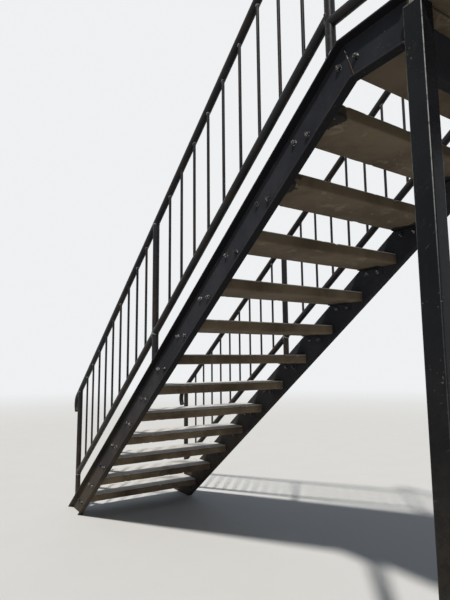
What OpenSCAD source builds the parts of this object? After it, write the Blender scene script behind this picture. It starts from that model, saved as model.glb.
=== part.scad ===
// Straight outdoor escape stair: twelve solid concrete treads between two steel
// channel stringers, pipe railings with round bars, and a concrete landing on two
// columns. Millimetres, +X is the way up, +Y is the left side going up, +Z is up.
// The ground is z = 0 and the origin is the middle of the footprint.

/* [Stair] */
// Height of one step
rise = 190; // [170:1:200]
// Depth of one step, from tread edge to tread edge
going = 264; // [250:1:290]
// Clear width between the stringer webs
clear_w = 1025; // [900:5:1200]

/* [Treads] */
// Thickness of a tread
tread_t = 60; // [50:1:70]
// Front to back size of a tread
tread_d = 262; // [240:1:262]
// Gap between a tread end and the stringer web
tread_play = 3; // [2:1:6]
// Bevel along the long edges of treads and slabs
arris = 6; // [3:1:10]

/* [Channels] */
// Depth of the stringer and beam channels
channel_h = 178; // [165:1:190]
// Width of a channel flange, toe to back
channel_flange = 40; // [34:1:50]
// Thickness of a channel web
channel_web = 6; // [5:1:8]
// Mean thickness of a channel flange
channel_flange_t = 9; // [7:1:11]
// Height from the stringer's lower edge up to the line of tread back edges
string_drop = 75; // [65:1:85]

/* [Tread brackets] */
// Leg of the angle under each tread end
angle_leg = 50; // [40:1:60]
// Thickness of that angle
angle_t = 5; // [4:1:8]
// Length of that angle
angle_len = 150; // [120:5:180]
// Distance from a tread's front edge to its angle
angle_inset = 9; // [5:1:30]

/* [Landing] */
// Front edge of the landing to the wall
landing_depth = 1200; // [1000:10:1500]
// Thickness of the landing slabs
landing_t = 60; // [50:1:70]
// Front to back size of the front plank
plank_d = 400; // [385:1:404]
// Width of the open joint behind the front plank
slab_joint = 3; // [2:1:6]
// How far the slab runs past the clear width on each side
slab_side = 45; // [43:1:60]
// Front edge of the landing to the flat face of the header beam
header_setback = 345; // [335:1:350]
// Length by which the header beam's flanges are cut back at each end
header_cope = 45; // [40:1:80]

/* [Columns] */
// Gap between the header beam and a column
column_gap = 2; // [1:1:10]
// Size of a column along the stair
column_x = 70; // [65:1:80]
// Size of a column across the stair
column_y = 64; // [50:1:80]
// Wall of a column
column_wall = 5; // [4:1:8]
// Outer corner radius of a column
column_r = 8; // [6:1:12]
// Thickness of a base plate
base_t = 12; // [10:1:20]
// How far a base plate runs past its column along the stair
base_margin = 60; // [50:1:80]
// Size of a base plate across the stair
base_y = 100; // [90:1:120]
// Diameter of an anchor bolt hole
anchor_hole_d = 18; // [14:1:20]
// Distance from an anchor hole's centre to the plate edges
anchor_edge = 22; // [18:1:24]

/* [Wall fixing] */
// Diameter of a bolt hole in the wall beam
wall_hole_d = 18; // [14:1:22]
// Distance between the wall bolts across the stair
wall_hole_y = 900; // [700:10:950]
// Distance between the wall bolts up and down
wall_hole_z = 90; // [70:1:100]

/* [Railings] */
// Outside diameter of rails and posts
pipe_d = 42; // [38:1:46]
// Wall of the rail pipe
pipe_wall = 4; // [3:1:6]
// Diameter of an upright bar
bar_d = 16; // [12:1:20]
// Stringer web to the middle of the railing
rail_out = 22; // [18:1:24]
// Upright height from the line of tread back edges to the top rail
top_rail_h = 1027; // [950:1:1100]
// The same to the lower rail
low_rail_h = 315; // [280:1:360]
// Back edge line of the ground to the middle of the first post
first_post_x = 20; // [10:1:40]
// Distance between upright bars
bar_pitch = 154; // [150:1:160]
// First post to the first bar
first_bar_gap = 200; // [180:1:210]
// First post to the outermost point of the top rail's bent end, at the pipe's middle
hook_reach = 105; // [95:1:130]
// Bend radius of that end, at the pipe's middle
hook_r = 100; // [90:1:110]
// Angle by which that end turns back past plumb
hook_tuck = 25; // [0:1:40]
// Straight length after the bend
hook_end = 20; // [8:1:40]
// Height of the landing guard above the landing
guard_h = 1067; // [1000:1:1100]
// Height of the landing guard's lower rail above the landing
guard_gap = 110; // [80:1:150]
// Wall to the middle of the guard's end post
end_post_gap = 60; // [50:1:90]
// Thickness of the end post's foot plate
foot_t = 8; // [6:1:12]
// Length of the end post's foot plate
foot_len = 100; // [80:1:120]

/* [Hidden] */

$fn = 48;
// Clearance between a coped pipe end and the pipe that it meets
seat = 0.3;
// Overlap that makes a cut run clear of a face
cut = 2;
// Slope of the inner flange faces of a channel, as rise over run
flange_taper = 1 / 6;
// Step in radius where the straight pipe end is sleeved on its bend, and its lap
sleeve_step = 0.1;
sleeve_lap = 1;
// How far the open pipe end is bored back into the bend
bore_back = 18;

tread_count = 12;
bay_treads = 6;
bars_in_bay = 9;
guard_bars = 7;

slope = rise / going;
pitch_angle = atan(slope);
half_w = clear_w / 2;
rail_y = half_w + rail_out;
pipe_r = pipe_d / 2;

landing_z = (tread_count + 1) * rise;
landing_x = (tread_count + 1) * going - tread_d;
slab_under = landing_z - landing_t;
wall_x = landing_x + landing_depth;
header_x = landing_x + header_setback;
column_front = header_x + column_gap;
column_mid_x = column_front + column_x / 2;
column_mid_y = half_w + channel_flange - column_y / 2;

string_top_h = channel_h / cos(pitch_angle) - string_drop;
return_top = landing_z;
return_bottom = return_top - channel_h;
foot_back_x = -string_top_h / slope;

bay_len = bay_treads * going;
top_post_x = first_post_x + 2 * bay_len;
end_post_x = wall_x - end_post_gap;
guard_z = landing_z + guard_h - pipe_r;
guard_low_z = landing_z + guard_gap;
guard_pitch = (end_post_x - top_post_x) / (guard_bars + 1);
base_x = column_x + 2 * base_margin;
hook_turn = 90 - pitch_angle + hook_tuck;
base_mid_y = half_w + slab_side - base_y / 2;

mid_x = (foot_back_x + wall_x) / 2;
// Length that carries a cutting shape beyond every end of the stair
far = 2 * wall_x;

steel = [0.10, 0.10, 0.11];
concrete = [0.66, 0.62, 0.55];

// Height of a line that runs with the stair, h above the tread back edges
function line_z(x, h) = x * slope + h;

// Moves the stair so that the middle of its footprint is the origin
module place() {
    translate([-mid_x, 0, 0]) children();
}

// Draws the left side as it is, or mirrors it for the right side
module on_side(left) {
    if (left) {
        place() children();
    } else {
        place() mirror([0, 1, 0]) children();
    }
}

// Extrudes an outline given as [along the stair, height] over a stretch across it
module across(y0, y1) {
    translate([0, y1, 0]) rotate([90, 0, 0]) linear_extrude(y1 - y0) children();
}

// Thickness of a channel's flange at a distance from the channel's back
function flange_t(y) =
    channel_flange_t + ((channel_flange + channel_web) / 2 - y) * flange_taper;

// Channel outline: back at x = 0, toes at x = channel_flange, depth along y
module channel_outline() {
    polygon([
        [0, 0],
        [channel_flange, 0],
        [channel_flange, flange_t(channel_flange)],
        [channel_web, flange_t(channel_web)],
        [channel_web, channel_h - flange_t(channel_web)],
        [channel_flange, channel_h - flange_t(channel_flange)],
        [channel_flange, channel_h],
        [0, channel_h]
    ]);
}

// Channel across the stair, flat back at x = 0 and toes towards the stair foot
module channel_across(len) {
    mirror([1, 0, 0]) rotate([90, 0, 0]) linear_extrude(len, center = true) channel_outline();
}

// Slab outline with bevelled long edges, front edge at x = 0 and top at y = 0
module slab_profile(depth, thick) {
    polygon([
        [0, -thick + arris],
        [arris, -thick],
        [depth - arris, -thick],
        [depth, -thick + arris],
        [depth, -arris],
        [depth - arris, 0],
        [arris, 0],
        [0, -arris]
    ]);
}

module rounded_rect(x, y, r) {
    square([x - 2 * r, y], center = true);
    square([x, y - 2 * r], center = true);
    for (sx = [-1, 1], sy = [-1, 1]) {
        translate([sx * (x / 2 - r), sy * (y / 2 - r)]) circle(r);
    }
}

// Round bar or pipe along the slope, at a height above the tread back edges
module sloped_bar(x0, x1, h, r) {
    translate([x0, rail_y, line_z(x0, h)])
        rotate([0, 90 - pitch_angle, 0])
            cylinder(r = r, h = (x1 - x0) / cos(pitch_angle));
}

module level_bar(x0, x1, z, r) {
    translate([x0, rail_y, z]) rotate([0, 90, 0]) cylinder(r = r, h = x1 - x0);
}

module upright(x, z0, z1, r) {
    translate([x, rail_y, z0]) cylinder(r = r, h = z1 - z0);
}

// Stringer from the side, as [along the stair, height]: level foot, slope, mitre and
// level return to the column
module stringer_side() {
    polygon([
        [foot_back_x, 0],
        [string_drop / slope, 0],
        [(return_bottom + string_drop) / slope, return_bottom],
        [column_front, return_bottom],
        [column_front, return_top],
        [(return_top - string_top_h) / slope, return_top]
    ]);
}

// Space outside the web and below the inner face of the upper or the lower flange,
// along a straight leg that runs far beyond both ends
module leg_space(upper) {
    tip = channel_flange + cut;
    root_z = upper ? channel_h - flange_t(channel_web) : flange_t(channel_web);
    tip_z = upper ? channel_h - flange_t(tip) : flange_t(tip);
    rotate([90, 0, 90]) linear_extrude(2 * far, center = true) polygon([
        [channel_web, -far],
        [tip, -far],
        [tip, tip_z],
        [channel_web, root_z]
    ]);
}

// The same space where it is common to the sloping leg and the level one
module flange_space(upper) {
    intersection() {
        translate([0, half_w, -string_drop]) rotate([0, -pitch_angle, 0]) leg_space(upper);
        translate([0, half_w, return_bottom]) leg_space(upper);
    }
}

module stringer(left) {
    color(steel) on_side(left) difference() {
        across(half_w, half_w + channel_flange) stringer_side();
        difference() {
            flange_space(true);
            flange_space(false);
        }
    }
}

module tread(number) {
    color(concrete) place()
        translate([number * going - tread_d, 0, number * rise])
            across(-half_w + tread_play, half_w - tread_play)
                slab_profile(tread_d, tread_t);
}

// Angle with one leg under the tread and the other down the stringer web
module tread_angle() {
    across(half_w - angle_leg, half_w) square_at(angle_len, angle_t);
    across(half_w - angle_t, half_w) square_at(angle_len, angle_leg);
}

module square_at(len, depth) {
    translate([0, -depth]) square([len, depth]);
}

module tread_brackets(left) {
    color(steel) on_side(left) {
        for (number = [1:tread_count]) {
            translate([number * going - tread_d + angle_inset, 0, number * rise - tread_t])
                tread_angle();
        }
        translate([landing_x + angle_inset, 0, slab_under]) tread_angle();
    }
}

// Channel between the stringers, its flanges cut back at the ends
module header_beam() {
    color(steel) place() translate([header_x, 0, slab_under - channel_h]) difference() {
        channel_across(clear_w);
        for (cope_y = [-half_w - cut, half_w - header_cope]) {
            translate([-channel_flange - cut, cope_y, -cut])
                cube([channel_flange - channel_web + cut, header_cope + cut, channel_h + 2 * cut]);
        }
    }
}

module wall_beam() {
    hole_mid_z = slab_under - channel_h / 2;
    color(steel) place() difference() {
        translate([wall_x, 0, slab_under - channel_h]) channel_across(clear_w + 2 * slab_side);
        for (sy = [-1, 1], sz = [-1, 1]) {
            translate([wall_x - channel_web - cut, sy * wall_hole_y / 2, hole_mid_z + sz * wall_hole_z / 2])
                rotate([0, 90, 0]) cylinder(d = wall_hole_d, h = channel_web + 2 * cut);
        }
    }
}

module landing_front_plank() {
    color(concrete) place() translate([landing_x, 0, landing_z])
        across(-half_w + tread_play, half_w - tread_play) slab_profile(plank_d, landing_t);
}

module landing_slab() {
    color(concrete) place() translate([landing_x + plank_d + slab_joint, 0, landing_z])
        across(-half_w - slab_side, half_w + slab_side)
            slab_profile(landing_depth - plank_d - slab_joint, landing_t);
}

module column(left) {
    color(steel) on_side(left) translate([column_mid_x, column_mid_y, base_t])
        linear_extrude(slab_under - base_t) difference() {
            rounded_rect(column_x, column_y, column_r);
            rounded_rect(column_x - 2 * column_wall, column_y - 2 * column_wall, column_r - column_wall);
        }
}

module column_base(left) {
    color(steel) on_side(left) translate([column_mid_x, base_mid_y, 0])
        difference() {
            translate([-base_x / 2, -base_y / 2, 0]) cube([base_x, base_y, base_t]);
            for (sx = [-1, 1], sy = [-1, 1]) {
                translate([sx * (base_x / 2 - anchor_edge), sy * (base_y / 2 - anchor_edge), -cut])
                    cylinder(d = anchor_hole_d, h = base_t + 2 * cut);
            }
        }
}

// Frame of the rail's bent end: origin at the middle of the bend, x axis to the point
// where the slope meets it, y axis down the slope there
module at_bend() {
    bend_x = first_post_x - hook_reach + hook_r;
    translate([bend_x, rail_y, line_z(bend_x, top_rail_h) - hook_r / cos(pitch_angle)])
        rotate([90, 0, 0]) rotate([0, 0, 90 + pitch_angle]) children();
}

// Cylinder on the axis of the rail's open end, between two distances past the bend
module end_cylinder(r, start, stop) {
    rotate([0, 0, hook_turn]) translate([hook_r, start, 0]) rotate([-90, 0, 0])
        cylinder(r = r, h = stop - start);
}

// Straight slope, bend and open end of the top rail
module top_rail_body(r) {
    straight_x = first_post_x - hook_reach + hook_r * (1 - sin(pitch_angle));
    at_bend() {
        translate([hook_r, 0, 0]) rotate([90, 0, 0])
            cylinder(r = r, h = (top_post_x - straight_x) / cos(pitch_angle));
        rotate_extrude(angle = hook_turn) translate([hook_r, 0]) circle(r);
        end_cylinder(r + sleeve_step, -sleeve_lap, hook_end);
    }
}

module top_rail(left) {
    color(steel) on_side(left) difference() {
        top_rail_body(pipe_r);
        at_bend() end_cylinder(pipe_r - pipe_wall, -bore_back, hook_end + cut);
        upright(top_post_x, landing_z, guard_z, pipe_r + seat);
    }
}

module lower_rail(left) {
    color(steel) on_side(left) difference() {
        sloped_bar(first_post_x, top_post_x, low_rail_h, pipe_r);
        for (bay = [0:2]) {
            x = first_post_x + bay * bay_len;
            upright(x, line_z(x, 0), line_z(x, 2 * low_rail_h), pipe_r + seat);
        }
    }
}

// Removes what lies below the top face of the sloping stringer
module above_stringer() {
    difference() {
        children();
        translate([-2 * channel_h, 0, line_z(-2 * channel_h, string_top_h)])
            rotate([0, -pitch_angle, 0])
                translate([0, 0, -2 * channel_h])
                    cube([2 * wall_x, clear_w, 2 * channel_h]);
    }
}

module posts(left) {
    color(steel) on_side(left) {
        above_stringer() difference() {
            for (bay = [0:1]) {
                x = first_post_x + bay * bay_len;
                upright(x, line_z(x, 0), line_z(x, top_rail_h), pipe_r);
            }
            sloped_bar(first_post_x - going, top_post_x, top_rail_h, pipe_r + seat);
        }
        above_stringer() difference() {
            upright(top_post_x, line_z(top_post_x, 0), guard_z, pipe_r);
            level_bar(top_post_x - going, end_post_x, guard_z, pipe_r + seat);
        }
    }
}

module balusters(left) {
    color(steel) on_side(left) difference() {
        for (bay = [0:1], bar = [0:bars_in_bay - 1]) {
            x = first_post_x + bay * bay_len + first_bar_gap + bar * bar_pitch;
            upright(x, line_z(x, low_rail_h), line_z(x, top_rail_h), bar_d / 2);
        }
        sloped_bar(first_post_x, top_post_x, low_rail_h, pipe_r + seat);
        sloped_bar(first_post_x, top_post_x, top_rail_h, pipe_r + seat);
    }
}

module guard_rails(left) {
    color(steel) on_side(left) {
        level_bar(top_post_x - pipe_r, end_post_x + pipe_r, guard_z, pipe_r);
        difference() {
            level_bar(top_post_x, end_post_x, guard_low_z, pipe_r);
            for (x = [top_post_x, end_post_x]) {
                upright(x, landing_z, guard_low_z + pipe_d, pipe_r + seat);
            }
        }
    }
}

module guard_posts(left) {
    color(steel) on_side(left) {
        difference() {
            upright(end_post_x, landing_z + foot_t, guard_z, pipe_r);
            level_bar(end_post_x - pipe_d, end_post_x + pipe_d, guard_z, pipe_r + seat);
        }
        translate([end_post_x - foot_len / 2, rail_y - pipe_r, landing_z])
            cube([foot_len, pipe_d, foot_t]);
    }
}

module guard_balusters(left) {
    color(steel) on_side(left) difference() {
        for (bar = [1:guard_bars]) {
            upright(top_post_x + bar * guard_pitch, guard_low_z, guard_z, bar_d / 2);
        }
        level_bar(top_post_x, end_post_x, guard_low_z, pipe_r + seat);
        level_bar(top_post_x, end_post_x, guard_z, pipe_r + seat);
    }
}

stringer(false);  // stringer_right
stringer(true);  // stringer_left
tread(1);  // tread_01
tread(2);  // tread_02
tread(3);  // tread_03
tread(4);  // tread_04
tread(5);  // tread_05
tread(6);  // tread_06
tread(7);  // tread_07
tread(8);  // tread_08
tread(9);  // tread_09
tread(10);  // tread_10
tread(11);  // tread_11
tread(12);  // tread_12
tread_brackets(false);  // tread_brackets_right
tread_brackets(true);  // tread_brackets_left
header_beam();
wall_beam();
landing_front_plank();
landing_slab();
column(false);  // column_right
column(true);  // column_left
column_base(false);  // column_base_right
column_base(true);  // column_base_left
top_rail(false);  // top_rail_right
top_rail(true);  // top_rail_left
lower_rail(false);  // lower_rail_right
lower_rail(true);  // lower_rail_left
posts(false);  // posts_right
posts(true);  // posts_left
balusters(false);  // balusters_right
balusters(true);  // balusters_left
guard_rails(false);  // guard_rails_right
guard_rails(true);  // guard_rails_left
guard_posts(false);  // guard_posts_right
guard_posts(true);  // guard_posts_left
guard_balusters(false);  // guard_balusters_right
guard_balusters(true);  // guard_balusters_left
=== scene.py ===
import math
import random

import bmesh
import bpy
from mathutils import Matrix, Vector, noise


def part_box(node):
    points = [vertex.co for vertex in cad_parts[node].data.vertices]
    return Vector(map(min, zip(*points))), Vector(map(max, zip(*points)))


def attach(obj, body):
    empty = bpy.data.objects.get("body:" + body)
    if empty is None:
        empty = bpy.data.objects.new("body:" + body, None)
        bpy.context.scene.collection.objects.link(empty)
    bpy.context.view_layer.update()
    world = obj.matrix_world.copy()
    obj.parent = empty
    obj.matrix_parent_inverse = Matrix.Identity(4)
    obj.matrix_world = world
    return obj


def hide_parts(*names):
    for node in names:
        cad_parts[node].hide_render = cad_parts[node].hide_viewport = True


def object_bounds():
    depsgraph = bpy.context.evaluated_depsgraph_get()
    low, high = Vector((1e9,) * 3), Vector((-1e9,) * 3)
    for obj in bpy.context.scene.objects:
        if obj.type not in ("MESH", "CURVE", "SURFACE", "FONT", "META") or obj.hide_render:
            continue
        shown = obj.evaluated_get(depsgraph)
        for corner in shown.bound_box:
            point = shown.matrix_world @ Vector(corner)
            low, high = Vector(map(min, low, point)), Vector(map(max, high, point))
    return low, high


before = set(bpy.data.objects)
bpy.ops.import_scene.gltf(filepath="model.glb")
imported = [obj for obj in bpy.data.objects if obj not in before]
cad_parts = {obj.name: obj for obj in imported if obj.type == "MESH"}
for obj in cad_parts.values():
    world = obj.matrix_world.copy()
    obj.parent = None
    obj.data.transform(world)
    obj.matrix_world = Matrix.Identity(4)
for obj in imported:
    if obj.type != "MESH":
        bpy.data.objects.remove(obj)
cad_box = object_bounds()

# Both sources of chance are seeded, so that each run gives the same shapes
SEED = 11
random.seed(SEED)
noise.seed_set(SEED)

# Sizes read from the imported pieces, in metres
TREAD_COUNT = sum(name.removeprefix("tread_").isdigit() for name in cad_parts)
FIRST_LO, FIRST_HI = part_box("tread_01")
SECOND_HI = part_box("tread_02")[1]
TREAD_DEPTH = FIRST_HI.x - FIRST_LO.x
TREAD_T = FIRST_HI.z - FIRST_LO.z
RISE = SECOND_HI.z - FIRST_HI.z
GOING = SECOND_HI.x - FIRST_HI.x
SLOPE = RISE / GOING
PITCH = math.atan(SLOPE)
START_X = FIRST_HI.x - GOING
STRINGER_LO, STRINGER_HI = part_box("stringer_left")
HALF_W = STRINGER_LO.y
TOE_Y = STRINGER_HI.y
RAIL_LO, RAIL_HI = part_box("lower_rail_left")
RAIL_Y = (RAIL_LO.y + RAIL_HI.y) / 2
PIPE_R = (RAIL_HI.y - RAIL_LO.y) / 2
BAR_LO, BAR_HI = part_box("balusters_left")
BAR_R = (BAR_HI.y - BAR_LO.y) / 2
SLAB_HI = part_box("landing_slab")[1]
LANDING_Z = SLAB_HI.z
WALL_X = SLAB_HI.x
GUARD_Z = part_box("guard_rails_left")[1].z - PIPE_R

# Sizes that the solids were drawn with, in metres
CHANNEL_H = 0.178
CHANNEL_WEB = 0.006
STRING_DROP = 0.075
STRING_TOP = CHANNEL_H / math.cos(PITCH) - STRING_DROP
WEB_Y = HALF_W + CHANNEL_WEB
RETURN_LOW_Z = LANDING_Z - CHANNEL_H
BRACKET_T = 0.005
TOP_RAIL_H = 1.027
LOW_RAIL_H = 0.315
BAYS = 2
BAY_TREADS = 6
BAY = BAY_TREADS * GOING
FIRST_POST_X = START_X + 0.020
TOP_POST_X = FIRST_POST_X + BAYS * BAY
END_POST_X = WALL_X - 0.060
FIRST_BAR_GAP = 0.200
BAR_PITCH = 0.154
BARS_IN_BAY = 9
GUARD_LOW_Z = LANDING_Z + 0.110
GUARD_BARS = 7
GUARD_PLATE_T = 0.008
SIDES = (("right", -1), ("left", 1))

# Radii of the weld beads, in metres
BAR_FOOT_BEAD = 0.0026
BAR_HEAD_BEAD = 0.0030
POST_BEAD = 0.0034
POST_FOOT_BEAD = 0.0036
MITRE_TOP_BEAD = 0.0028
MITRE_WEB_BEAD = 0.0026
MITRE_BACK_BEAD = 0.0024
HEADER_BEAD = 0.0032
COLUMN_SIDE_BEAD = 0.0032
COLUMN_HEAD_BEAD = 0.0034
COLUMN_FOOT_BEAD = 0.0040

# How weld beads are laid: distances in metres, and points round a bar and round a pipe
SIDE_LIMIT = cad_box[1].y - 0.0002
EDGE_GAP = 0.001
BEAD_STEP = 0.006
BEAD_SIDES = 7
BAR_POINTS = 20
PIPE_POINTS = 36

# Nuts: width across the flats, height, radius of the bolt, radius of the washer, in metres
WEB_NUT = (0.019, 0.010, 0.006, 0.0125)
BRACKET_NUT = (0.019, 0.008, 0.004, 0.0120)
ANCHOR_NUT = (0.024, 0.013, 0.008, 0.016)
WASHER_T = 0.0025

# Places of the bolts, in metres
BOLT_BACKS = (0.042, 0.125)
BOLT_DROP = 0.027
BASE_BOLT_INSET = 0.022
WALL_BOLT_Y = 0.45
WALL_BOLT_Z = 0.045

# Cast slabs, in metres
SLAB_ROUND = 0.0104
SLAB_ARC_POINTS = 5
SLAB_STEP = 0.009
WAVE_DEPTH = 0.0003
CHIP_BAND = 0.016
CHIP_DEPTH = 0.015
NICK_DEPTH = 0.0024

# How the weathering, the painted glint and the painted light and shade on the slabs' backs run:
# heights and lengths in metres, tones as shares
SPLASH_FULL_Z, SPLASH_END_Z = 0.02, 1.45
# Painted highlight: the heights over which the pale glint on corners comes in.
GLINT_FROM_Z, GLINT_FULL_Z = 1.40, 2.00
STAIN_REACH = 0.085
BLOT_REACH = 0.128
# Painted light and shade: the treads' backs are painted lighter at the foot and darker towards the
# top, and the landing's backs take a set share.
FOOT_BACK_SHADE = 1.90
BACK_SHADE_FALL = 1.00
LANDING_BACK_SHADE = 0.9
BLACKENED_TREADS = 2

# Colours, linear
BLACK_PAINT = (0.0065, 0.0068, 0.0080)
FADED_PAINT = (0.017, 0.0175, 0.021)
CHANNEL_BLACK = (0.0185, 0.0195, 0.0235)
CHANNEL_FADED = (0.036, 0.037, 0.043)
# Painted shade: the columns' paint is set darker than the channel's, standing for shade on the
# columns.
COLUMN_SHADED_BLACK = (0.0045, 0.0050, 0.0062)
COLUMN_SHADED_FADED = (0.0105, 0.0115, 0.0140)
BROWNED = (0.024, 0.0155, 0.011)
DUST = (0.16, 0.145, 0.12)
SPLASHED_DIRT = (0.074, 0.056, 0.036)
SCUFF = (0.13, 0.13, 0.125)
# Painted highlight: the pale colour of the painted glint on edges and rounded corners.
GLINT_PAINT = (0.36, 0.36, 0.355)
RUST = (0.070, 0.027, 0.012)
DARK_RUST = (0.034, 0.014, 0.008)
BARE_STEEL = (0.36, 0.36, 0.35)
# Concrete: the top is pale partly from bleaching and partly as painted light; the underside's dark
# warm taupe is painted shade with painted warm bounce light.
CONCRETE = (0.69, 0.662, 0.612)
CONCRETE_PALE = (0.80, 0.782, 0.738)
CONCRETE_DARK = (0.068, 0.051, 0.033)
CONCRETE_UNDER_SHADED = (0.118, 0.090, 0.059)
CONCRETE_STAIN = (0.26, 0.225, 0.175)
CONCRETE_SIDE = (0.37, 0.345, 0.30)
FLOOR_COLOUR = (0.72, 0.72, 0.71)
BACKDROP = (0.86, 0.875, 0.89)

# Stage and light; distances in metres
FLOOR_R = 60.0
FLOOR_FADE = (7.0, 22.0)
SKY_COLOUR = (0.76, 0.86, 1.0)
SKY_STRENGTH = 0.18
LAMP_COLOUR = (1.0, 0.965, 0.91)
LAMP_STRENGTH = 3.4
LAMP_WIDTH = math.radians(3.0)
LAMP_TOWARDS = (0.60, -0.55, 1.0)


def line_z(x, h):
    """Height at x of a line that runs with the stair, h above the tread back edges."""
    return (x - START_X) * SLOPE + h


# Shader building


class Shader:
    """A material's node tree with short calls for what the materials here use."""

    def __init__(self, name):
        self.material = bpy.data.materials.new(name)
        self.material.use_nodes = True
        self.tree = self.material.node_tree
        self.tree.nodes.clear()
        self.out = self.add("ShaderNodeOutputMaterial")
        self.bsdf = self.add("ShaderNodeBsdfPrincipled")
        self.link(self.bsdf.outputs[0], self.out.inputs["Surface"])
        self.place = self.add("ShaderNodeTexCoord").outputs["Object"]

    def add(self, kind, **settings):
        """A new node with its settings."""
        node = self.tree.nodes.new(kind)
        for key, value in settings.items():
            setattr(node, key, value)
        return node

    def link(self, source, target):
        """Joins an output to an input."""
        self.tree.links.new(source, target)

    def put(self, socket, value):
        """Links a socket, or sets a plain number or colour on it."""
        if isinstance(value, bpy.types.NodeSocket):
            self.link(value, socket)
        elif isinstance(value, tuple) and len(value) == 3 and socket.type == "RGBA":
            socket.default_value = (*value, 1.0)
        else:
            socket.default_value = value

    def shifted(self, location):
        """The object's own coordinates, moved, so that like pieces differ."""
        node = self.add("ShaderNodeMapping")
        self.link(self.place, node.inputs["Vector"])
        node.inputs["Location"].default_value = location
        return node.outputs[0]

    def stretched(self, scale):
        """The object's own coordinates, scaled differently along each axis."""
        node = self.add("ShaderNodeMapping")
        self.link(self.place, node.inputs["Vector"])
        node.inputs["Scale"].default_value = scale
        return node.outputs[0]

    def along_slope(self, length, width, height):
        """Coordinates that run with the stair, in units of the sizes given."""
        node = self.add("ShaderNodeMapping", vector_type="TEXTURE")
        self.link(self.place, node.inputs["Vector"])
        node.inputs["Rotation"].default_value = (0.0, -PITCH, 0.0)
        node.inputs["Scale"].default_value = (length, width, height)
        return node.outputs[0]

    def noise(self, scale, detail=4.0, rough=0.55, place=None, distortion=0.0):
        """Cloudy noise, mostly between 0.3 and 0.7."""
        node = self.add("ShaderNodeTexNoise")
        self.link(place or self.place, node.inputs["Vector"])
        node.inputs["Scale"].default_value = scale
        node.inputs["Detail"].default_value = detail
        node.inputs["Roughness"].default_value = rough
        node.inputs["Distortion"].default_value = distortion
        return node.outputs["Fac"]

    def cells(self, scale, place):
        """Distance to the nearest of many scattered points."""
        node = self.add("ShaderNodeTexVoronoi")
        self.link(place, node.inputs["Vector"])
        node.inputs["Scale"].default_value = scale
        return node.outputs["Distance"]

    def ramp(self, value, low, high, start=0.0, end=1.0):
        """Maps low..high smoothly to start..end, held outside."""
        node = self.add("ShaderNodeMapRange", interpolation_type="SMOOTHSTEP")
        self.put(node.inputs["Value"], value)
        node.inputs["From Min"].default_value = low
        node.inputs["From Max"].default_value = high
        node.inputs["To Min"].default_value = start
        node.inputs["To Max"].default_value = end
        return node.outputs[0]

    def maths(self, operation, a, b=0.0):
        """One step of arithmetic."""
        node = self.add("ShaderNodeMath", operation=operation)
        self.put(node.inputs[0], a)
        self.put(node.inputs[1], b)
        return node.outputs[0]

    def times(self, a, b):
        """The product of two values."""
        return self.maths("MULTIPLY", a, b)

    def most(self, a, b):
        """The larger of two values."""
        return self.maths("MAXIMUM", a, b)

    def mix(self, factor, a, b):
        """Colour a where the factor is 0, and b where it is 1."""
        node = self.add("ShaderNodeMix", data_type="RGBA")
        self.put(node.inputs[0], factor)
        self.put(node.inputs[6], a)
        self.put(node.inputs[7], b)
        return node.outputs[2]

    def facing(self, name="Z"):
        """One part of the surface normal: for Z, 1 on top faces and -1 underneath."""
        split = self.add("ShaderNodeSeparateXYZ")
        self.link(self.add("ShaderNodeNewGeometry").outputs["Normal"], split.inputs[0])
        return split.outputs[name]

    def axis(self, name):
        """One of the object's own coordinates, in metres."""
        split = self.add("ShaderNodeSeparateXYZ")
        self.link(self.place, split.inputs[0])
        return split.outputs[name]

    def soft_edges(self, radius):
        """Normals rounded over the edges, and a mask of where they turn."""
        bevel = self.add("ShaderNodeBevel", samples=6)
        bevel.inputs["Radius"].default_value = radius
        dot = self.add("ShaderNodeVectorMath", operation="DOT_PRODUCT")
        self.link(bevel.outputs[0], dot.inputs[0])
        self.link(self.add("ShaderNodeNewGeometry").outputs["Normal"], dot.inputs[1])
        return bevel.outputs[0], self.ramp(dot.outputs["Value"], 0.99, 0.86)

    def bump(self, height, distance, strength=1.0, normal=None):
        """A normal with relief of the given depth, on top of another normal if one is given."""
        node = self.add("ShaderNodeBump")
        self.put(node.inputs["Height"], height)
        node.inputs["Distance"].default_value = distance
        node.inputs["Strength"].default_value = strength
        if normal is not None:
            self.link(normal, node.inputs["Normal"])
        return node.outputs[0]

    def finish(self, colour, roughness, normal, specular):
        """Puts the results on the shader, and gives the material."""
        self.put(self.bsdf.inputs["Base Color"], colour)
        self.put(self.bsdf.inputs["Roughness"], roughness)
        self.put(self.bsdf.inputs["Normal"], normal)
        self.bsdf.inputs["Specular IOR Level"].default_value = specular
        return self.material


# Paint


def aged_paint(s, broad, black, faded, browning):
    """Black paint that fades in patches and streaks and browns, with painted shade darkening the faces
    that point down.
    """
    streak = s.noise(9.0, 4.0, 0.6, s.stretched((9.0, 9.0, 0.8)))
    colour = s.mix(s.ramp(broad, 0.35, 0.72), black, faded)
    colour = s.mix(s.ramp(streak, 0.52, 0.78, 0.0, 0.35), colour, faded)
    # Painted shade: faces that point down are darkened toward the blackest paint.
    colour = s.mix(s.ramp(s.facing(), -0.35, -0.80, 0.0, 0.85), colour, BLACK_PAINT)
    brown = s.ramp(s.noise(7.0, 5.0, 0.65), 0.46, 0.66, 0.0, browning)
    return s.mix(brown, colour, BROWNED)


def splash_mask(s, broad, fine, dirt):
    """Where dirt has splashed up from the ground."""
    height = s.ramp(s.axis("Z"), SPLASH_FULL_Z, SPLASH_END_Z, dirt, 0.0)
    splash = s.times(height, s.ramp(fine, 0.25, 0.62, 0.45, 1.0))
    return s.times(splash, s.ramp(broad, 0.30, 0.60, 0.35, 1.0))


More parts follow.
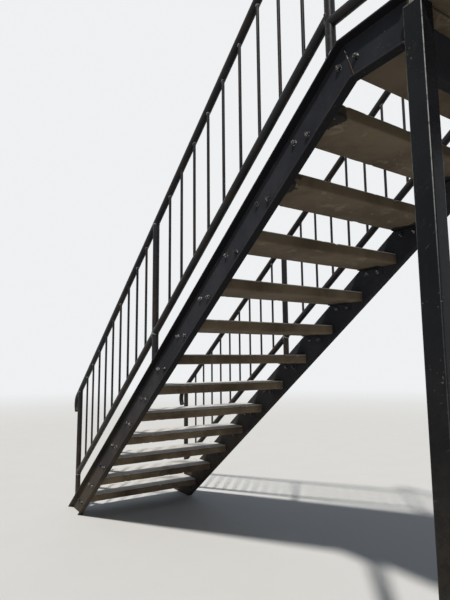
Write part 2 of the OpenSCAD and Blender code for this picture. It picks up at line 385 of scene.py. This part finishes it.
def scuff_mask(s):
    """Where the paint is scraped along the stair, or chipped in small spots, in some patches."""
    scrape = s.ramp(s.noise(1.0, 5.0, 0.7, s.along_slope(0.045, 0.020, 0.0035)), 0.635, 0.69)
    scrapes = s.times(scrape, s.ramp(s.noise(3.7, 3.0), 0.52, 0.64))
    chip = s.ramp(s.noise(95.0, 2.0), 0.675, 0.71)
    chips = s.times(chip, s.ramp(s.noise(5.1, 3.0), 0.50, 0.62))
    return s.most(scrapes, chips)


def painted_glint_mask(s, edge, fine, glint_amount):
    """Painted highlight: where a pale glint is painted on edges and rounded upright corners, mostly
    high up.
    """
    diagonal = s.maths("ABSOLUTE", s.times(s.facing("X"), s.facing("Y")))
    glint_spots = s.most(edge, s.ramp(diagonal, 0.445, 0.495))
    glint_spots = s.times(glint_spots, s.ramp(fine, 0.32, 0.55, 0.35 * glint_amount, glint_amount))
    return s.times(glint_spots, s.ramp(s.axis("Z"), GLINT_FROM_Z, GLINT_FULL_Z, 0.10, 1.0))


def paint_material(
    name, black, faded, *, edge_r, least_rough, shine, rusting, dust, dirt, glint_amount=0.0, browning=0.0
):
    """Weathered black paint, with painted shade underneath; rusting, dust, dirt and browning say how
    much of each it has, and the glint amount how much painted highlight.
    """
    s = Shader(name)
    normal, edge = s.soft_edges(edge_r)
    broad = s.noise(2.6, 5.0, 0.6)
    fine = s.noise(46.0, 6.0, 0.65)
    speck = s.noise(120.0, 3.0, 0.6)
    colour = aged_paint(s, broad, black, faded, browning)
    splash = splash_mask(s, broad, fine, dirt)
    colour = s.mix(splash, colour, SPLASHED_DIRT)
    grime = s.times(s.ramp(s.facing(), 0.35, 0.95), s.ramp(fine, 0.28, 0.70))
    colour = s.mix(s.times(grime, dust), colour, DUST)
    scuffed = scuff_mask(s)
    colour = s.mix(s.times(scuffed, 0.6), colour, SCUFF)
    # Painted highlight: a pale glint on edges and rounded upright corners.
    if glint_amount:
        colour = s.mix(painted_glint_mask(s, edge, fine, glint_amount), colour, GLINT_PAINT)
    worn = s.times(edge, s.ramp(fine, 0.46, 0.60))
    spots = s.times(s.ramp(speck, 0.66, 0.74), s.ramp(broad, 0.42, 0.66))
    rust = s.times(s.most(worn, spots), rusting)
    colour = s.mix(rust, colour, s.mix(s.ramp(speck, 0.35, 0.65), DARK_RUST, RUST))
    dull = s.most(s.most(rust, grime), s.most(splash, scuffed))
    rough = s.most(s.ramp(fine, 0.30, 0.75, least_rough, least_rough + 0.18), s.times(dull, 0.85))
    relief = s.maths("ADD", s.times(fine, 0.5), s.times(rust, 0.8))
    return s.finish(colour, rough, s.bump(relief, 0.0006, 0.8, normal), shine)


def frame_paint_material():
    """Stringers, beams and brackets: the dullest and most faded paint, dirty near the ground."""
    return paint_material(
        "frame_paint", CHANNEL_BLACK, CHANNEL_FADED, edge_r=0.003, least_rough=0.52, shine=0.05,
        rusting=0.70, dust=0.30, dirt=0.80, glint_amount=0.06,
    )


def rail_paint_material():
    """Rails, posts and bars: smoother paint, browned in patches."""
    return paint_material(
        "rail_paint", BLACK_PAINT, FADED_PAINT, edge_r=0.0008, least_rough=0.30, shine=0.16,
        rusting=0.45, dust=0.12, dirt=0.42, browning=0.75,
    )


def column_paint_material():
    """Columns and their bases: the blackest and smoothest paint, darkened as painted shade, with a
    painted highlight on the corners high up.
    """
    return paint_material(
        "column_paint", COLUMN_SHADED_BLACK, COLUMN_SHADED_FADED, edge_r=0.005, least_rough=0.24, shine=0.09,
        rusting=0.20, dust=0.18, dirt=0.55, glint_amount=0.75,
    )


# Concrete


def concrete_top(s, broad, patch):
    """The top, pale from bleaching and from painted light, stained in patches."""
    top = s.mix(s.ramp(broad, 0.30, 0.70), CONCRETE, CONCRETE_PALE)
    return s.mix(s.ramp(patch, 0.55, 0.76, 0.0, 0.45), top, CONCRETE_STAIN)


def concrete_below(s, broad, patch, up, back_shade_tone):
    """The underside in dark warm taupe as painted shade and painted warm bounce light, the back as
    light as the back shade tone says as painted light and shade, and the grey front and ends.
    """
    under = s.mix(s.ramp(broad, 0.30, 0.66), CONCRETE_DARK, CONCRETE_UNDER_SHADED)
    under = s.mix(s.ramp(patch, 0.56, 0.70, 0.0, 0.35), under, CONCRETE_STAIN)
    back_shade_colour = tuple(c * back_shade_tone for c in CONCRETE_UNDER_SHADED)
    back = s.mix(s.ramp(broad, 0.30, 0.66), CONCRETE_DARK, back_shade_colour)
    below = s.mix(s.ramp(up, -0.75, -0.25), under, back)
    ends = s.ramp(s.maths("ABSOLUTE", s.facing("Y")), 0.35, 0.75)
    outward = s.most(s.ramp(s.facing("X"), -0.35, -0.75), ends)
    grey = s.mix(s.ramp(broad, 0.32, 0.68), CONCRETE_STAIN, CONCRETE_SIDE)
    return s.mix(outward, below, grey)


def rust_stain_mask(s, side, place):
    """Where the brackets' rust has run into the ends of a slab."""
    ends = s.ramp(side, HALF_W - STAIN_REACH, HALF_W - 0.005)
    return s.times(ends, s.ramp(s.noise(26.0, 5.0, 0.6, place), 0.44, 0.70, 0.0, 0.30))


def blot_mask(s, side, up, place):
    """Ragged patches next to the brackets, on the back and the underside."""
    near_end = s.ramp(side, HALF_W - BLOT_REACH, HALF_W - 0.040, 0.0, 0.45)
    blot = s.ramp(s.maths("ADD", near_end, s.noise(15.0, 6.0, 0.70, place)), 0.84, 0.89)
    return s.times(blot, s.ramp(up, 0.30, -0.10))


def concrete_material(name, seed, back_shade_tone, blackened=False):
    """Cast concrete with sand grain, pits, worn edges and stains, a top painted light and an underside
    and back painted shade; a blackened one has dark patches.
    """
    s = Shader(name)
    place = s.shifted((seed * 3.7, seed * 1.3, seed * 2.1))
    broad = s.noise(3.4, 6.0, 0.62, place)
    patch = s.noise(11.0, 5.0, 0.60, place, 0.6)
    sand = s.noise(420.0, 2.0, 0.7, place)
    pits = s.times(s.ramp(s.cells(34.0, place), 0.10, 0.045), s.ramp(patch, 0.50, 0.60))
    up = s.facing()
    side = s.maths("ABSOLUTE", s.axis("Y"))
    below = concrete_below(s, broad, patch, up, back_shade_tone)
    colour = s.mix(s.ramp(up, 0.15, 0.80), below, concrete_top(s, broad, patch))
    colour = s.mix(s.ramp(s.cells(190.0, place), 0.15, 0.60, 0.16, 0.0), colour, CONCRETE_DARK)
    colour = s.mix(rust_stain_mask(s, side, place), colour, RUST)
    if blackened:
        colour = s.mix(s.times(blot_mask(s, side, up, place), 0.92), colour, BLACK_PAINT)
    worn = s.times(s.soft_edges(0.012)[1], s.ramp(s.noise(60.0, 4.0, 0.6, place), 0.42, 0.62))
    colour = s.mix(s.times(worn, 0.45), colour, CONCRETE_STAIN)
    colour = s.mix(s.times(pits, 0.75), colour, CONCRETE_DARK)
    relief = s.maths("ADD", s.times(sand, 0.35), s.times(patch, 0.9))
    relief = s.maths("SUBTRACT", relief, s.times(pits, 1.6))
    return s.finish(colour, s.ramp(patch, 0.3, 0.7, 0.82, 0.96), s.bump(relief, 0.0016, 0.9), 0.2)


# Welds and bolts


def weld_material(name, least_bare, most_bare):
    """Weld metal under black paint, with bare and rusty spots where the paint is off."""
    s = Shader(name)
    fine = s.noise(160.0, 4.0, 0.6)
    broad = s.noise(31.0, 4.0, 0.6)
    where = s.noise(11.0, 2.0, 0.5)
    bare = s.times(s.ramp(broad, least_bare, most_bare), s.ramp(where, least_bare, most_bare))
    colour = s.mix(s.ramp(fine, 0.35, 0.65), BLACK_PAINT, FADED_PAINT)
    colour = s.mix(s.ramp(where, 0.56, 0.44, 0.0, 0.7), colour, DARK_RUST)
    colour = s.mix(s.times(bare, 0.7), colour, BARE_STEEL)
    colour = s.mix(s.ramp(s.noise(57.0), 0.58, 0.66, 0.0, 0.5), colour, RUST)
    return s.finish(colour, s.ramp(fine, 0.3, 0.7, 0.5, 0.75), s.bump(fine, 0.0006), 0.25)


def bolt_material():
    """Bolts painted over with the channel, with pale crescents on rims and ends as painted highlight,
    and spots of worn paint.
    """
    s = Shader("bolt_metal")
    fine = s.noise(150.0, 4.0, 0.6)
    broad = s.noise(42.0, 2.0, 0.5)
    normal, edge = s.soft_edges(0.0012)
    # Painted highlight: pale metal on rims and ends stands for glints; the noise spots are worn paint.
    bare = s.times(s.most(edge, s.ramp(fine, 0.50, 0.58)), s.ramp(broad, 0.46, 0.53))
    colour = s.mix(s.ramp(fine, 0.35, 0.65), BLACK_PAINT, FADED_PAINT)
    colour = s.mix(s.ramp(s.noise(67.0), 0.54, 0.64, 0.0, 0.7), colour, DARK_RUST)
    colour = s.mix(bare, colour, BARE_STEEL)
    return s.finish(colour, s.ramp(fine, 0.3, 0.7, 0.45, 0.7), s.bump(fine, 0.0003, 0.7, normal), 0.3)


# Mesh building


def add_piece(name, mesh, material, smooth=True):
    """Turns a mesh into a piece that rides on the stair."""
    mesh.materials.append(material)
    mesh.polygons.foreach_set("use_smooth", [smooth] * len(mesh.polygons))
    piece = bpy.data.objects.new(name, mesh)
    bpy.context.scene.collection.objects.link(piece)
    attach(piece, "root")
    return piece


class Pool:
    """Collects vertices and faces of many small shapes into one mesh."""

    def __init__(self):
        self.points = []
        self.faces = []

    def rings(self, rings, closed):
        """Skins rings of points; closed joins the last ring to the first."""
        base = len(self.points)
        count = len(rings[0])
        for ring in rings:
            self.points.extend(ring)
        spans = len(rings) if closed else len(rings) - 1
        for i in range(spans):
            j = (i + 1) % len(rings)
            for k in range(count):
                n = (k + 1) % count
                self.faces.append((
                    base + i * count + k,
                    base + i * count + n,
                    base + j * count + n,
                    base + j * count + k,
                ))
        if not closed:
            self.faces.append(tuple(base + k for k in reversed(range(count))))
            self.faces.append(tuple(base + spans * count + k for k in range(count)))

    def mesh(self, name):
        """The collected shapes as one mesh, with all faces turned outward."""
        made = bpy.data.meshes.new(name)
        made.from_pydata([tuple(p) for p in self.points], [], self.faces)
        turned = bmesh.new()
        turned.from_mesh(made)
        bmesh.ops.recalc_face_normals(turned, faces=turned.faces)
        turned.to_mesh(made)
        turned.free()
        return made


def bead(pool, path, radius, closed):
    """A rippled weld bead along a path of points, kept within the stair's width."""
    count = len(path)
    rings = []
    last = Vector((0, 0, 0))
    for i, point in enumerate(path):
        ahead = path[(i + 1) % count] if closed or i + 1 < count else point
        behind = path[i - 1] if closed or i > 0 else point
        along = (ahead - behind).normalized()
        across = along.orthogonal().normalized()
        if across.dot(last) < 0:
            across = -across
        last = across
        up = along.cross(across)
        swell = radius * (1.0 + 0.16 * (i % 2) + 0.22 * noise.noise(point * 90.0))
        ring = []
        for k in range(BEAD_SIDES):
            angle = 2 * math.pi * k / BEAD_SIDES
            spot = point + (across * math.cos(angle) + up * math.sin(angle)) * swell
            spot.y = max(-SIDE_LIMIT, min(SIDE_LIMIT, spot.y))
            ring.append(spot)
        rings.append(ring)
    pool.rings(rings, closed)


def line_path(start, end):
    """Points from start to end, with a little of a hand's wander."""
    count = max(2, int((end - start).length / BEAD_STEP))
    path = []
    for i in range(count + 1):
        point = start.lerp(end, i / count)
        path.append(point + noise.noise_vector(point * 45.0) * 0.0012)
    return path


def line_bead(pool, start, end, radius):
    """A bead from start to end."""
    bead(pool, line_path(start, end), radius, False)


def bar_on_rail(x, y, z, bar_r, below, slope_angle):
    """Points round an upright where it meets a round rail: below the rail or above it."""
    count = BAR_POINTS if bar_r == BAR_R else PIPE_POINTS
    path = []
    for i in range(count):
        angle = 2 * math.pi * i / count
        u = bar_r * math.cos(angle)
        v = bar_r * math.sin(angle)
        rise = math.sqrt(max(0.0, PIPE_R ** 2 - v ** 2))
        if below:
            rise = -rise
        height = (u * math.sin(slope_angle) + rise) / math.cos(slope_angle)
        path.append(Vector((x + u, y + v, z + height)))
    return path


def post_foot(x, y, r, z_at):
    """Points round an upright where it stands on a face, whose height at x is z_at(x)."""
    path = []
    for i in range(PIPE_POINTS):
        angle = 2 * math.pi * i / PIPE_POINTS
        px = x + r * math.cos(angle)
        path.append(Vector((px, y + r * math.sin(angle), z_at(px))))
    return path


def rail_on_post(x, y, z, uphill):
    """Points round a sloping rail where it meets a post, on the post's uphill or downhill side."""
    path = []
    for i in range(PIPE_POINTS):
        angle = 2 * math.pi * i / PIPE_POINTS
        v = PIPE_R * math.cos(angle)
        w = PIPE_R * math.sin(angle)
        reach = math.sqrt(max(0.0, PIPE_R ** 2 - v ** 2))
        if not uphill:
            reach = -reach
        path.append(Vector((x + reach, y + v, z + reach * SLOPE + w / math.cos(PITCH))))
    return path


def hex_nut(pool, centre, axis, across_flats, height, bolt_r, washer_r):
    """Washer, hexagon nut and the end of its bolt, standing on a face."""
    side = axis.orthogonal().normalized()
    other = axis.cross(side)
    turn = random.uniform(0.0, math.pi / 3)

    def ring(radius, lift, count, phase=0.0):
        return [
            centre + axis * lift
            + (side * math.cos(a) + other * math.sin(a)) * radius
            for a in (phase + 2 * math.pi * k / count for k in range(count))
        ]

    corner = across_flats / math.sqrt(3)
    top = WASHER_T + height
    pool.rings([ring(washer_r, 0.0, 24), ring(washer_r, WASHER_T, 24)], False)
    pool.rings([
        ring(corner * 0.99, WASHER_T, 6, turn),
        ring(corner, WASHER_T + height * 0.12, 6, turn),
        ring(corner, top - height * 0.14, 6, turn),
        ring(corner * 0.90, top, 6, turn),
    ], False)
    pool.rings([
        ring(bolt_r, top, 14),
        ring(bolt_r, top + bolt_r * 0.7, 14),
        ring(bolt_r * 0.8, top + bolt_r * 0.95, 14),
    ], False)


def slab_section(lo, hi):
    """A slab's outline seen from its end, as x, z, outward normal and distance to a corner."""
    section = []
    r = SLAB_ROUND

    def side(x0, z0, x1, z1):
        length = math.hypot(x1 - x0, z1 - z0)
        count = max(1, round(length / SLAB_STEP))
        nx, nz = (z1 - z0) / length, -(x1 - x0) / length
        for i in range(count):
            t = i / count
            edge = min(t, 1 - t) * length
            section.append((x0 + (x1 - x0) * t, z0 + (z1 - z0) * t, nx, nz, edge))

    def corner(cx, cz, start):
        for i in range(SLAB_ARC_POINTS):
            angle = math.radians(start + 90 * i / SLAB_ARC_POINTS)
            nx, nz = math.cos(angle), math.sin(angle)
            section.append((cx + r * nx, cz + r * nz, nx, nz, 0.0))

    corner(lo.x + r, lo.z + r, 180)
    side(lo.x + r, lo.z, hi.x - r, lo.z)
    corner(hi.x - r, lo.z + r, 270)
    side(hi.x, lo.z + r, hi.x, hi.z - r)
    corner(hi.x - r, hi.z - r, 0)
    side(hi.x - r, hi.z, lo.x + r, hi.z)
    corner(lo.x + r, hi.z - r, 90)
    side(lo.x, hi.z - r, lo.x, lo.z + r)
    return section


def worn_depth(place, edge):
    """How deep a slab is worn: a slight wave all over, chips and nicks near its long edges."""
    wave = WAVE_DEPTH * (1 + noise.noise(place * 7.0))
    near = max(0.0, 1 - edge / CHIP_BAND)
    sparse = max(0.0, min(1.0, (noise.noise(place * 5.0) - 0.05) * 6))
    chip = sparse * max(0.0, noise.noise(place * 34.0) - 0.16) * CHIP_DEPTH
    chip += max(0.0, noise.noise(place * 80.0) - 0.34) * NICK_DEPTH
    return wave + near * chip


def weathered_slab(name, node, seed, material):
    """A cast slab with worn, chipped long edges; it stays inside the solid that it stands for."""
    lo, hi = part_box(node)
    section = slab_section(lo, hi)
    shift = Vector((seed * 7.3, seed * 2.9, seed * 5.1))
    stations = max(2, round((hi.y - lo.y) / SLAB_STEP))
    rings = []
    for i in range(stations + 1):
        y = lo.y + (hi.y - lo.y) * i / stations
        ring = []
        for x, z, nx, nz, edge in section:
            depth = worn_depth(Vector((x, y, z)) + shift, edge)
            ring.append(Vector((x - nx * depth, y, z - nz * depth)))
        rings.append(ring)
    pool = Pool()
    pool.rings(rings, False)
    piece = add_piece(name, pool.mesh(name), material)
    piece.data.set_sharp_from_angle(angle=math.radians(38))
    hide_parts(node)


# The pieces


def dress_solids(frame_paint, rail_paint, column_paint):
    """Gives the solids their paint."""
    rails = ("top_rail", "lower_rail", "posts", "balusters", "guard")
    for name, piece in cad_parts.items():
        paint = frame_paint
        if name.startswith(rails):
            paint = rail_paint
        elif name.startswith("column"):
            paint = column_paint
        for material_slot in piece.material_slots:
            material_slot.material = paint


def make_treads():
    """The twelve treads, whose backs are painted lighter at the foot and darker towards the top as
    painted light and shade, and the blackened highest ones.
    """
    for number in range(1, TREAD_COUNT + 1):
        node = f"tread_{number:02d}"
        back_shade_tone = FOOT_BACK_SHADE - BACK_SHADE_FALL * (number - 1) / (TREAD_COUNT - 1)
        blackened = number > TREAD_COUNT - BLACKENED_TREADS
        material = concrete_material(f"tread_concrete_{number:02d}", number, back_shade_tone, blackened)
        weathered_slab(f"cast_{node}", node, number, material)


def make_landing():
    """The landing's front plank and slab."""
    # Painted shade: the landing's backs take a painted tone like the treads' backs.
    material = concrete_material("landing_concrete", 20, LANDING_BACK_SHADE)
    for seed, node in ((21, "landing_front_plank"), (22, "landing_slab")):
        weathered_slab(f"cast_{node}", node, seed, material)


def bar_places():
    """Where the upright bars of the stair railing stand, along the stair."""
    return [
        FIRST_POST_X + bay * BAY + FIRST_BAR_GAP + bar * BAR_PITCH
        for bay in range(BAYS)
        for bar in range(BARS_IN_BAY)
    ]


def weld_stair_bars(pool, y):
    """Beads at both ends of each bar of the stair railing."""
    for x in bar_places():
        bead(pool, bar_on_rail(x, y, line_z(x, LOW_RAIL_H), BAR_R, False, PITCH), BAR_FOOT_BEAD, True)
        bead(pool, bar_on_rail(x, y, line_z(x, TOP_RAIL_H), BAR_R, True, PITCH), BAR_HEAD_BEAD, True)


def weld_stair_posts(pool, y):
    """Beads at the posts' feet and heads, and where the rails meet them."""
    for bay in range(BAYS + 1):
        x = FIRST_POST_X + bay * BAY
        low_z = line_z(x, LOW_RAIL_H)
        foot = post_foot(x, y, PIPE_R, lambda px: line_z(px, STRING_TOP) + EDGE_GAP)
        bead(pool, [point for point in foot if abs(point.y) < TOE_Y], POST_FOOT_BEAD, False)
        if bay < BAYS:
            head = bar_on_rail(x, y, line_z(x, TOP_RAIL_H), PIPE_R - EDGE_GAP, True, PITCH)
            bead(pool, head, POST_BEAD, True)
            bead(pool, rail_on_post(x, y, low_z, True), POST_BEAD, True)
        if bay > 0:
            bead(pool, rail_on_post(x, y, low_z, False), POST_BEAD, True)
    top_joint = rail_on_post(TOP_POST_X, y, line_z(TOP_POST_X, TOP_RAIL_H), False)
    bead(pool, top_joint, POST_BEAD, True)


def weld_guard(pool, y):
    """Beads at both ends of each bar of a landing guard, and at its end post's foot."""
    span = END_POST_X - TOP_POST_X
    for bar in range(1, GUARD_BARS + 1):
        x = TOP_POST_X + span * bar / (GUARD_BARS + 1)
        bead(pool, bar_on_rail(x, y, GUARD_LOW_Z, BAR_R, False, 0.0), BAR_FOOT_BEAD, True)
        bead(pool, bar_on_rail(x, y, GUARD_Z, BAR_R, True, 0.0), BAR_HEAD_BEAD, True)
    foot = post_foot(END_POST_X, y, PIPE_R - 2 * EDGE_GAP, lambda px: LANDING_Z + GUARD_PLATE_T)
    bead(pool, foot, POST_FOOT_BEAD, True)


def make_rail_welds(material):
    """The weld beads of the railings and guards, one piece for each side."""
    for side_name, sign in SIDES:
        pool = Pool()
        y = sign * RAIL_Y
        weld_stair_bars(pool, y)
        weld_stair_posts(pool, y)
        weld_guard(pool, y)
        add_piece(f"rail_welds_{side_name}", pool.mesh("rail_welds"), material)


def weld_mitre(pool, at):
    """Beads along a stringer's mitre: over its top flange, down its web and down its inside."""
    top_x = START_X + (LANDING_Z - STRING_TOP) / SLOPE
    low_x = START_X + (RETURN_LOW_Z + STRING_DROP) / SLOPE
    flange = 0.013
    lean = 0.004
    short = 0.002
    line_bead(
        pool,
        at(top_x, TOE_Y - EDGE_GAP, LANDING_Z),
        at(top_x, HALF_W + EDGE_GAP, LANDING_Z),
        MITRE_TOP_BEAD,
    )
    line_bead(
        pool,
        at(top_x + lean, WEB_Y, LANDING_Z - flange),
        at(low_x - lean, WEB_Y, RETURN_LOW_Z + flange),
        MITRE_WEB_BEAD,
    )
    line_bead(
        pool,
        at(top_x, HALF_W, LANDING_Z - short),
        at(low_x, HALF_W, RETURN_LOW_Z + short),
        MITRE_BACK_BEAD,
    )


def weld_header(pool, at):
    """Beads up both faces of the header's web, where it meets a stringer's web."""
    header_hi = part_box("header_beam")[1]
    y = HALF_W - EDGE_GAP
    top_z = header_hi.z - 0.004
    for x in (header_hi.x - CHANNEL_WEB, header_hi.x):
        line_bead(pool, at(x, y, RETURN_LOW_Z), at(x, y, top_z), HEADER_BEAD)


def weld_column(pool, at):
    """Beads where a column meets the stringer's web and lower flange, and round its foot."""
    lo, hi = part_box("column_left")
    base_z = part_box("column_base_left")[1].z
    corner_gap = 0.006
    line_bead(
        pool,
        at(lo.x, WEB_Y, LANDING_Z - 0.07),
        at(lo.x, WEB_Y, RETURN_LOW_Z + 0.012),
        COLUMN_SIDE_BEAD,
    )
    line_bead(
        pool,
        at(lo.x, HALF_W, RETURN_LOW_Z),
        at(lo.x, TOE_Y - EDGE_GAP, RETURN_LOW_Z),
        COLUMN_HEAD_BEAD,
    )
    corners = [(lo.x, lo.y), (hi.x, lo.y), (hi.x, hi.y), (lo.x, hi.y)]
    path = []
    for (ax, ay), (bx, by) in zip(corners, corners[1:] + corners[:1]):
        run = Vector((bx - ax, by - ay, 0)).normalized() * corner_gap
        path += line_path(at(ax + run.x, ay + run.y, base_z), at(bx - run.x, by - run.y, base_z))
    bead(pool, path, COLUMN_FOOT_BEAD, True)


def make_frame_welds(material):
    """The weld beads of the mitres, header and columns, one piece for each side."""
    for side_name, sign in SIDES:
        pool = Pool()

        def at(x, y, z):
            return Vector((x, sign * y, z))

        weld_mitre(pool, at)
        weld_header(pool, at)
        weld_column(pool, at)
        add_piece(f"frame_welds_{side_name}", pool.mesh("frame_welds"), material)


def make_bracket_bolts(material):
    """Two bolts for each bracket, of the treads and the front plank, with nuts on both faces."""
    for side_name, sign in SIDES:
        pool = Pool()
        outward = Vector((0, sign, 0))
        for number in range(1, TREAD_COUNT + 2):
            front = START_X + number * GOING - TREAD_DEPTH
            under = number * RISE - TREAD_T
            for back in BOLT_BACKS:
                x = front + back
                z = under - BOLT_DROP
                outer = Vector((x, sign * WEB_Y, z))
                inner = Vector((x, sign * (HALF_W - BRACKET_T), z))
                hex_nut(pool, outer, outward, *WEB_NUT)
                hex_nut(pool, inner, -outward, *BRACKET_NUT)
        add_piece(f"bracket_bolts_{side_name}", pool.mesh("bracket_bolts"), material, smooth=False)


def make_anchor_bolts(material):
    """The anchor bolts of the column bases and of the wall beam."""
    pool = Pool()
    for side_name, sign in SIDES:
        lo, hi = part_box(f"column_base_{side_name}")
        for x in (lo.x + BASE_BOLT_INSET, hi.x - BASE_BOLT_INSET):
            for y in (lo.y + BASE_BOLT_INSET, hi.y - BASE_BOLT_INSET):
                hex_nut(pool, Vector((x, y, hi.z)), Vector((0, 0, 1)), *ANCHOR_NUT)
    beam_lo, beam_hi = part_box("wall_beam")
    mid_z = (beam_lo.z + beam_hi.z) / 2
    for sy in (-1, 1):
        for sz in (-1, 1):
            place = Vector((WALL_X - CHANNEL_WEB, sy * WALL_BOLT_Y, mid_z + sz * WALL_BOLT_Z))
            hex_nut(pool, place, Vector((-1, 0, 0)), *ANCHOR_NUT)
    add_piece("anchor_bolts", pool.mesh("anchor_bolts"), material, smooth=False)


# Stage, light and camera


def seen_rays(tree):
    """1 for the rays that show a surface in the picture, in gloss or through glass, else 0."""
    rays = tree.nodes.new("ShaderNodeLightPath")
    seen = rays.outputs["Is Camera Ray"]
    for kind in ("Is Glossy Ray", "Is Transmission Ray"):
        either = tree.nodes.new("ShaderNodeMath")
        either.operation = "MAXIMUM"
        tree.links.new(seen, either.inputs[0])
        tree.links.new(rays.outputs[kind], either.inputs[1])
        seen = either.outputs[0]
    return seen


def floor_material():
    """A pale floor that fades into the backdrop's colour away from the stair."""
    s = Shader("floor_pale")
    shade = tuple(c * 0.985 for c in FLOOR_COLOUR)
    tone = s.mix(s.ramp(s.noise(3.0, 3.0, 0.5), 0.3, 0.7), FLOOR_COLOUR, shade)
    s.finish(tone, 0.9, s.bump(s.noise(60.0), 0.0004, 0.3), 0.2)
    distance = s.add("ShaderNodeVectorMath", operation="LENGTH")
    s.link(s.place, distance.inputs[0])
    glow = s.add("ShaderNodeEmission")
    glow.inputs["Color"].default_value = (*BACKDROP, 1.0)
    blend = s.add("ShaderNodeMixShader")
    far = s.ramp(distance.outputs["Value"], *FLOOR_FADE)
    s.link(s.times(far, seen_rays(s.tree)), blend.inputs[0])
    s.link(s.bsdf.outputs[0], blend.inputs[1])
    s.link(glow.outputs[0], blend.inputs[2])
    s.link(blend.outputs[0], s.out.inputs["Surface"])
    return s.material


def make_stage():
    """The round floor under the stair."""
    mesh = bpy.data.meshes.new("floor")
    build = bmesh.new()
    bmesh.ops.create_circle(build, cap_ends=True, segments=96, radius=FLOOR_R)
    build.to_mesh(mesh)
    build.free()
    floor = bpy.data.objects.new("floor", mesh)
    bpy.context.scene.collection.objects.link(floor)
    mesh.materials.append(floor_material())


def make_world():
    """Soft sky light on the stair, and a plain pale backdrop behind it."""
    world = bpy.data.worlds.new("studio")
    bpy.context.scene.world = world
    world.use_nodes = True
    tree = world.node_tree
    tree.nodes.clear()
    out = tree.nodes.new("ShaderNodeOutputWorld")
    blend = tree.nodes.new("ShaderNodeMixShader")
    sky = tree.nodes.new("ShaderNodeBackground")
    sky.inputs["Color"].default_value = (*SKY_COLOUR, 1.0)
    sky.inputs["Strength"].default_value = SKY_STRENGTH
    shown = tree.nodes.new("ShaderNodeBackground")
    shown.inputs["Color"].default_value = (*BACKDROP, 1.0)
    shown.inputs["Strength"].default_value = 1.0
    tree.links.new(seen_rays(tree), blend.inputs[0])
    tree.links.new(sky.outputs[0], blend.inputs[1])
    tree.links.new(shown.outputs[0], blend.inputs[2])
    tree.links.new(blend.outputs[0], out.inputs["Surface"])


def make_lamp():
    """One soft lamp, high on the camera's side of the stair, as the treads' shadows put it."""
    lamp = bpy.data.lights.new("sun", "SUN")
    lamp.energy = LAMP_STRENGTH
    lamp.angle = LAMP_WIDTH
    lamp.color = LAMP_COLOUR
    sun = bpy.data.objects.new("sun", lamp)
    bpy.context.scene.collection.objects.link(sun)
    towards = Vector(LAMP_TOWARDS).normalized()
    sun.rotation_mode = "QUATERNION"
    sun.rotation_quaternion = towards.to_track_quat("Z", "Y")
    sun.location = towards * 12


def make_camera():
    """The photograph's view: eye place and aim worked out from the stair's edges."""
    eye = Vector((START_X + 4.3936, -1.8062, 1.2822))
    yaw, pitch, roll = math.radians(-57.19), math.radians(7.38), math.radians(0.487)
    image_h = 600
    focal_px = 479.4
    ahead = Vector((math.sin(yaw) * math.cos(pitch), math.cos(yaw) * math.cos(pitch), math.sin(pitch)))
    level = Vector((math.cos(yaw), -math.sin(yaw), 0))
    down = -level.cross(ahead)
    right = math.cos(roll) * level + math.sin(roll) * down
    low = -math.sin(roll) * level + math.cos(roll) * down
    turn = Matrix((right, -low, -ahead)).transposed().to_4x4()
    data = bpy.data.cameras.new("camera")
    data.sensor_width = 36.0
    data.lens = focal_px * data.sensor_width / image_h
    data.clip_start = 0.05
    data.clip_end = 200.0
    camera = bpy.data.objects.new("camera", data)
    bpy.context.scene.collection.objects.link(camera)
    camera.matrix_world = Matrix.Translation(eye) @ turn
    bpy.context.scene.camera = camera


make_camera()
make_world()
make_lamp()
make_stage()
dress_solids(frame_paint_material(), rail_paint_material(), column_paint_material())
make_treads()
make_landing()
bolt_metal = bolt_material()
make_rail_welds(weld_material("rail_weld_metal", 0.40, 0.50))
make_frame_welds(weld_material("frame_weld_metal", 0.52, 0.60))
make_bracket_bolts(bolt_metal)
make_anchor_bolts(bolt_metal)
bpy.context.scene.view_settings.view_transform = "Standard"
